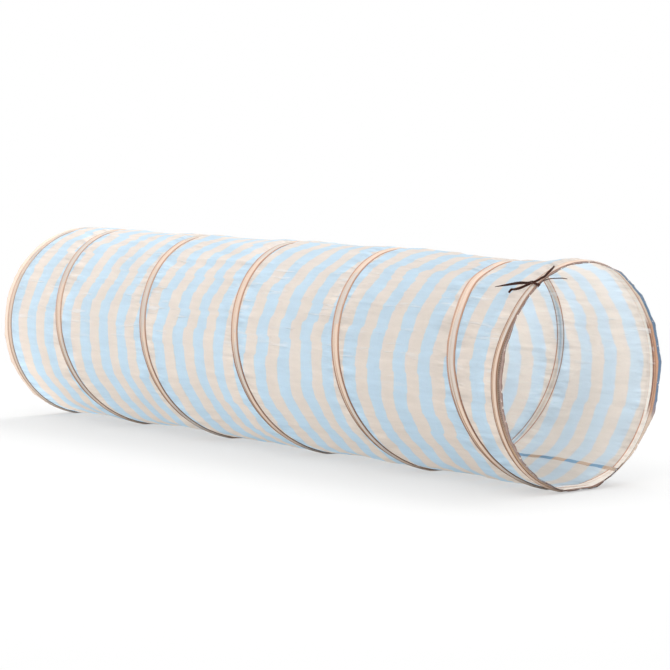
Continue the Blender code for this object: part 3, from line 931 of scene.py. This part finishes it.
def section_edges(first, last):
    """The depths at which the sections of the fold begin and end."""
    inner = [coil_depth(SPLIT_ANGLE + k * tau) for k in range(1, SECTIONS)]
    return [first, *inner, last]


def skin_piece(name, start, stop):
    """A length of the cloth tube between two depths, each given for every column."""
    start, stop = np.broadcast_to(start, COLUMNS), np.broadcast_to(stop, COLUMNS)
    rows = max(2, int(round(np.max(stop - start) / SKIN_STEP)) + 1)
    share = np.linspace(0, 1, rows)[:, None]
    depth = start * (1 - share) + stop * share
    angles = once_round(COLUMNS)
    shift = skin_shift(depth, angles)
    outside = settle(depth, SKIN_RADIUS + shift + SKIN_HALF, angles)
    inside = settle(depth, SKIN_RADIUS + shift - SKIN_HALF, angles)
    # Both surfaces meet the cutting planes exactly, whatever their radius
    middle = settle(depth, SKIN_RADIUS, angles)[..., 0]
    outside[..., 0] = inside[..., 0] = middle
    values = {
        "rest": rest_place(depth, angles),
        "stripe": stripe_place(depth, angles),
        "tape": to_tape(depth, angles),
    }
    return shell(name, outside, inside, values)


def flatten(piece, index):
    """Rides a piece on a section, and gives it a mesh of its own."""
    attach(piece, f"section_{index + 1}")
    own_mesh(piece)


def add_skin():
    angle = once_round(COLUMNS)
    fold_front = plane_depth(FOLD_FRONT_X, angle)
    fold_rear = plane_depth(FOLD_REAR_X, angle)
    edges = section_edges(fold_front, fold_rear)
    for k in range(SECTIONS):
        start, stop = edges[k], edges[k + 1]
        piece = skin_piece(f"cloth_{k + 1}", start, stop)
        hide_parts(f"skin_{k + 1}")
        flatten(piece, k)
    for end, start, stop, length in (
        ("front", CLOTH_RIM, fold_front, fold_front),
        ("rear", fold_rear, TUNNEL_LENGTH - CLOTH_RIM, TUNNEL_LENGTH - fold_rear),
    ):
        piece = skin_piece(f"cloth_{end}_end", start, stop)
        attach(piece, f"{end}_mouth")


def tape_section(width):
    """A tape's cross-section, as (across, radius) pairs: flat sewn edges, folded over
    once, and a rounded ridge over the wire."""
    share = np.array(
        [-1.0, -0.985, -0.90, -0.78, -0.70, -0.62, -0.45, -0.34, -0.25, -0.15, -0.07, 0]
    )
    share = np.concatenate([share, -share[-2::-1]])
    across = share * width / 2
    ridge = 0.0032 * np.exp(-((np.abs(across) / 0.0030) ** 2.2))
    fold = 0.0004 * smooth_step(np.abs(share), 0.64, 0.70)
    upper = TAPE_RADIUS + fold + ridge
    upper[[0, -1]] = TAPE_RADIUS - 0.0001
    cloth = SKIN_RADIUS + SKIN_HALF
    lower = np.where(np.abs(share) < 0.52, upper - 0.0005, cloth + 0.0001)
    radius = np.concatenate([upper, lower[::-1]])
    return np.concatenate([across, across[::-1]]), radius


def tape_strip(name, angles, depths, slope, width, closed=False):
    """A tape along a line of (depth, angle) points. The coil's tape stops where it
    meets a mouth's tape."""
    across, radius = tape_section(width)
    tilt = atan(slope / COIL_RADIUS)
    depth = depths[:, None] + across * cos(tilt)
    angle = angles[:, None] - across * sin(tilt) / COIL_RADIUS
    waver = 1 + 0.05 * noise(depth, angle, 41, 60, 40)
    depth = depths[:, None] + (depth - depths[:, None]) * waver
    if slope:
        clear = TAPE_REAR_DEPTH + FIT_GAP
        inside = np.clip(depth, clear, TUNNEL_LENGTH - clear)
        radius = np.where(depth == inside, radius, np.minimum(radius, TAPE_RADIUS))
        depth = inside
    values = {
        "stripe": stripe_place(depth, angle),
        "across": across[None] * TAPE_WIDTH / width,
    }
    return strip(name, depth, radius, angle, TAPE, closed, **values)


def split_strip(piece, index, node):
    """Cuts a section's strip where the fold begins, and rides each part on its body."""
    if index in FOLD_CUTS:
        x, ahead, body = FOLD_CUTS[index]
        end = copy_piece(piece, f"{piece.name}_{body}_end")
        keep_side(end, x, ahead)
        keep_side(piece, x, not ahead)
        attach(end, body)
    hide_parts(f"{node}_{index + 1}")
    flatten(piece, index)


def mount(piece, body, node):
    """Rides a piece on a body, in place of a node of the CAD model."""
    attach(piece, body)
    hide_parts(node)


def add_coil():
    slope = COIL_PITCH / tau
    half_gap = FIT_GAP / 2 / COIL_RADIUS
    clear = TAPE_REAR_DEPTH + FIT_GAP + WIRE_RADIUS
    for index in range(SECTIONS):
        start = SPLIT_ANGLE + index * tau
        stop = start + tau
        if index == SECTIONS - 1:
            stop = coil_angle(TUNNEL_LENGTH - TAPE_REAR_DEPTH + TAPE_WIDTH / 2)
        count = int((stop - start) / radians(1)) + 1
        angles = np.linspace(start, stop, count)
        name, depths = f"tape_turn_{index + 1}", coil_depth(angles)
        tape = tape_strip(name, angles, depths, slope, TAPE_WIDTH)
        split_strip(tape, index, "coil_tape")
        low, high = start + half_gap, stop - half_gap
        if index == 0:
            low = coil_angle(clear)
        if index == SECTIONS - 1:
            high = coil_angle(TUNNEL_LENGTH - clear)
        wire = wire_tube(f"wire_turn_{index + 1}", low, high, coil_depth)
        split_strip(wire, index, "coil_wire")


def wire_tube(name, start, stop, depth_of, closed=False):
    count = int((stop - start) / radians(1.5)) + (0 if closed else 1)
    angles = np.linspace(start, stop, count, endpoint=not closed)
    round_it = once_round(10)
    depth = depth_of(angles)[:, None] + WIRE_RADIUS * np.cos(round_it)
    radius = COIL_RADIUS + WIRE_RADIUS * np.sin(round_it)
    return strip(name, depth, radius, angles[:, None], WIRE, closed)


def mouth_side(depth, rear):
    return TUNNEL_LENGTH - depth if rear else depth


def hem_profile():
    """A hem's section, folded over the cloth's edge, as rows of the distance from the
    free edge, the radius, and 1 for the inner side."""
    inner_radius = SKIN_RADIUS - 0.0009
    nose = (TAPE_RADIUS + inner_radius) / 2
    reach = (TAPE_RADIUS - inner_radius) / 2 + 0.0002
    rows = [(HEM_WIDTH, TAPE_RADIUS - 0.0002, 0)]
    rows += [(d, TAPE_RADIUS + 0.0001, 0) for d in HEM_STEPS[::-1]]
    for degrees in (80, 50, 20, -20, -50, -80):
        t = radians(degrees)
        edge = 0.0017 - 0.0014 * cos(t)
        rows.append((edge, nose + reach * sin(t), int(degrees < 0)))
    rows += [(d, inner_radius - 0.0001, 1) for d in HEM_STEPS]
    rows += [(HEM_WIDTH, inner_radius + 0.0001, 1)]
    rows += [(d, SKIN_RADIUS - SKIN_HALF - 0.0001, 1) for d in LINING_STEPS[::-1]]
    rows += [(0.0016, SKIN_RADIUS, 1)]
    rows += [(d, SKIN_RADIUS + SKIN_HALF + 0.0001, 1) for d in LINING_STEPS]
    return np.array(rows)


def add_hem(end):
    """The dark binding folded over the cloth's edge, a collar ahead of the wire."""
    rear = end == "rear"
    across, radius, inner = hem_profile().T[:, None]
    angle = once_round(HEM_COUNT)[:, None]
    radius = radius + edge_shift(mouth_side(across, rear), angle)
    free = 1 - smooth_step(across, 0.001, 0.0145)
    depth = across + free * 0.0009 * (noise(0.5, angle, 55 + rear, 120, 2) + 0.6)
    depth = mouth_side(np.maximum(depth, 0), rear)
    values = {"across": across, "inner": inner}
    hem = strip(f"{end}_hem_binding", depth, radius, angle, HEM, True, **values)
    mount(hem, f"{end}_mouth", f"{end}_hem")


def add_mouth(end):
    body = f"{end}_mouth"
    name, angles = f"{end}_mouth_tape", once_round(LOOP_COUNT)
    at = mouth_side(LOOP_DEPTH, end == "rear")
    depths = np.full(LOOP_COUNT, at)
    tape = tape_strip(name, angles, depths, 0, MOUTH_TAPE_WIDTH, True)
    mount(tape, body, f"{end}_loop_tape")
    name = f"{end}_mouth_wire"
    wire = wire_tube(name, 0, tau, lambda angle: np.full_like(angle, at), True)
    mount(wire, body, f"{end}_loop_wire")
    add_hem(end)


def add_seam():
    """The seam allowance on the inside: two edges of cloth pressed to one side."""
    inner = SKIN_RADIUS - SKIN_HALF - 0.0003
    half = np.array([-1, -0.6, -0.2, 0.2, 0.6, 0.97])
    across = np.concatenate([half, [1.0], half[::-1]])
    lift = np.array([0.2, 0.5, 0.9, 1.1, 1.0, 0.9, 0.5, 0, 0, 0, 0, 0, 0]) * 0.0007
    edges = section_edges(SEAM_END, TUNNEL_LENGTH - SEAM_END)
    for k in range(SECTIONS):
        count = int((edges[k + 1] - edges[k]) / 0.003)
        depth = np.linspace(edges[k], edges[k + 1], count)[:, None]
        angle = SEAM_ANGLE + across * SEAM_WIDTH / 2 / SKIN_RADIUS
        wave = 0.0006 * noise(depth, angle * 0, 61, 3, 90) * (across > 0)
        angle = angle + wave / SKIN_RADIUS
        radius = inner - lift * (1 + 0.4 * noise(depth, angle, 62, 3, 150))
        radius = radius + skin_shift(depth, angle)
        stripe = stripe_place(depth, angle)
        piece = strip(f"seam_fold_{k + 1}", depth, radius, angle, SEAM, stripe=stripe)
        split_strip(piece, k, "seam")


def smooth_line(points, count):
    """A smooth line through points, evenly spaced by the points' own count."""
    p = np.vstack([2 * points[0] - points[1], points, 2 * points[-1] - points[-2]])
    t = np.linspace(0, 1, count, endpoint=False)[:, None]
    runs = []
    for a, b, c, d in zip(p, p[1:], p[2:], p[3:]):
        square = (2 * a - 5 * b + 4 * c - d) * t**2
        cube = (3 * b - a - 3 * c + d) * t**3
        runs.append(0.5 * (2 * b + (c - a) * t + square + cube))
    return np.vstack([*runs, points[-1]])


def unit(vectors):
    return vectors / np.linalg.norm(vectors, axis=1)[:, None]


def ribbon(name, points, widths, sides):
    """A thin ribbon along a smooth line, with its width and side at each point."""
    line = smooth_line(points, 8)
    keys = np.linspace(0, 1, len(points))
    share = np.linspace(0, 1, len(line))
    width = np.interp(share, keys, widths)
    side = np.stack([np.interp(share, keys, axis) for axis in sides.T], -1)
    ahead = unit(np.gradient(line, axis=0))
    side = unit(side - (side * ahead).sum(1)[:, None] * ahead)
    up = np.cross(ahead, side)
    spots = np.array([-1, -0.5, 0, 0.5, 1, 1, 0.5, 0, -0.5, -1])
    level = np.array([0, 0.35, 0.5, 0.35, 0, -1, -0.65, -0.5, -0.65, -1])
    rings = (
        line[:, None, :]
        + side[:, None, :] * (spots[:, None] * width[:, None, None] / 2)
        + up[:, None, :] * (level[:, None] + 0.25) * RIBBON_THICKNESS
    )
    steps = np.linalg.norm(np.diff(line, axis=0), axis=1)
    length = np.concatenate([[0], np.cumsum(steps)])
    values = {"across": spots[None] / 2, "along": length[:, None]}
    piece = sweep(f"ribbon_{name}", rings, values, RIBBON, False)
    mount(piece, "front_mouth", f"tie_{name}")


def add_ties():
    """Two ribbons through the hem, knotted on the mouth's tape, with four free ends."""
    ahead = np.array((1.0, 0, 0))
    round_way = np.array((0, -cos(TIE_ANGLE), sin(TIE_ANGLE)))
    out = np.array((0, -sin(TIE_ANGLE), -cos(TIE_ANGLE)))
    ways = (out, round_way, ahead)
    for name, rows in RIBBONS.items():
        depth, radius, degrees, width, *shares = np.array(rows).T
        points = settle(depth / 1000, radius / 1000, np.radians(degrees))
        sides = sum(share[:, None] * way for share, way in zip(shares, ways))
        ribbon(name, points, width / 1000, sides)
    add_knot(settle(KNOT_DEPTH, KNOT_RADIUS, TIE_ANGLE), ahead, round_way, out)


def add_knot(centre, across, round_way, out):
    """An overhand knot: a flat strand that winds twice round itself."""
    t = once_round(96)
    ring = 0.0030 + 0.0011 * np.cos(3 * t)
    line = (
        centre
        + across * (ring * np.cos(2 * t) * 1.15)[:, None]
        + round_way * (ring * np.sin(2 * t) * 0.95)[:, None]
        + out * (0.0013 * np.sin(3 * t) + 0.0003)[:, None]
    )
    ahead = unit(np.roll(line, -1, 0) - np.roll(line, 1, 0))
    side = unit(np.cross(ahead, out))
    up = np.cross(side, ahead)
    turn = once_round(12)
    rings = (
        line[:, None]
        + side[:, None] * (0.0015 * np.cos(turn))[:, None]
        + up[:, None] * (0.0008 * np.sin(turn))[:, None]
    )
    values = {"across": 0.5 * np.cos(turn)[None], "along": (t * 0.006)[:, None]}
    knot = sweep("ribbon_knot", rings, values, RIBBON, True)
    mount(knot, "front_mouth", "tie_knot")


def add_floor():
    n = Nodes("studio_floor")
    place = n.make("TexCoord").outputs["Object"]
    grain = n.noise(place, 3.0)
    colour = n.mix(grain, (0.815, 0.815, 0.81, 1), (0.845, 0.845, 0.84, 1))
    face = n.node("BsdfDiffuse", Color=colour)
    gap = n.make("VectorMath", place, settings={"operation": "LENGTH"}).outputs["Value"]
    # The floor that is seen fades to white away from the tunnel
    level = n.spread(gap, 1.0, 3.5, 0.775, 1.0, smooth=True)
    share = n.spread(gap, 1.0, 3.5, 0.67, 1.0, smooth=True)
    white = n.node("Emission", Color=(1, 1, 1, 1), Strength=level)
    material = n.finish(n.node("MixShader", n.times(n.seen(), share), face, white))
    half = FLOOR_HALF
    corners = [(-half, -half, 0), (half, -half, 0), (half, half, 0), (-half, half, 0)]
    new_object("floor", corners, [(0, 1, 2, 3)], material)


def add_light():
    world = bpy.data.worlds.new("studio")
    world.use_nodes = True
    bpy.context.scene.world = world
    n = Nodes(tree=world.node_tree)
    way = n.make("TexCoord").outputs["Generated"]
    height = n.make("SeparateXYZ", way).outputs["Z"]
    strength = n.spread(height, 0.0, 1.0, *SKY_STRENGTH)
    sky = n.node("Background", Color=(1, 1, 1, 1), Strength=strength)
    white = n.node("Background", Color=(1, 1, 1, 1), Strength=1.0)
    n.finish(n.node("MixShader", n.seen(), sky, white))
    for name, towards, strength in SUNS:
        lamp = bpy.data.lights.new(name, "SUN")
        lamp.energy = strength
        lamp.angle = SUN_SOFTNESS
        item = bpy.data.objects.new(name, lamp)
        item.rotation_euler = Vector(towards).to_track_quat("-Z", "Y").to_euler()
        bpy.context.scene.collection.objects.link(item)


def add_camera():
    data = bpy.data.cameras.new("view")
    data.sensor_width = 36
    data.lens = CAMERA_LENS
    data.clip_end = 100
    camera = bpy.data.objects.new("view", data)
    camera.location = CAMERA_PLACE
    camera.rotation_euler = (pi / 2 + CAMERA_PITCH, 0, -CAMERA_YAW)
    bpy.context.scene.collection.objects.link(camera)
    bpy.context.scene.camera = camera


bpy.context.scene.view_settings.view_transform = "Standard"
add_camera()
add_light()
add_floor()
add_skin()
add_coil()
add_seam()
add_mouth("front")
add_mouth("rear")
add_ties()
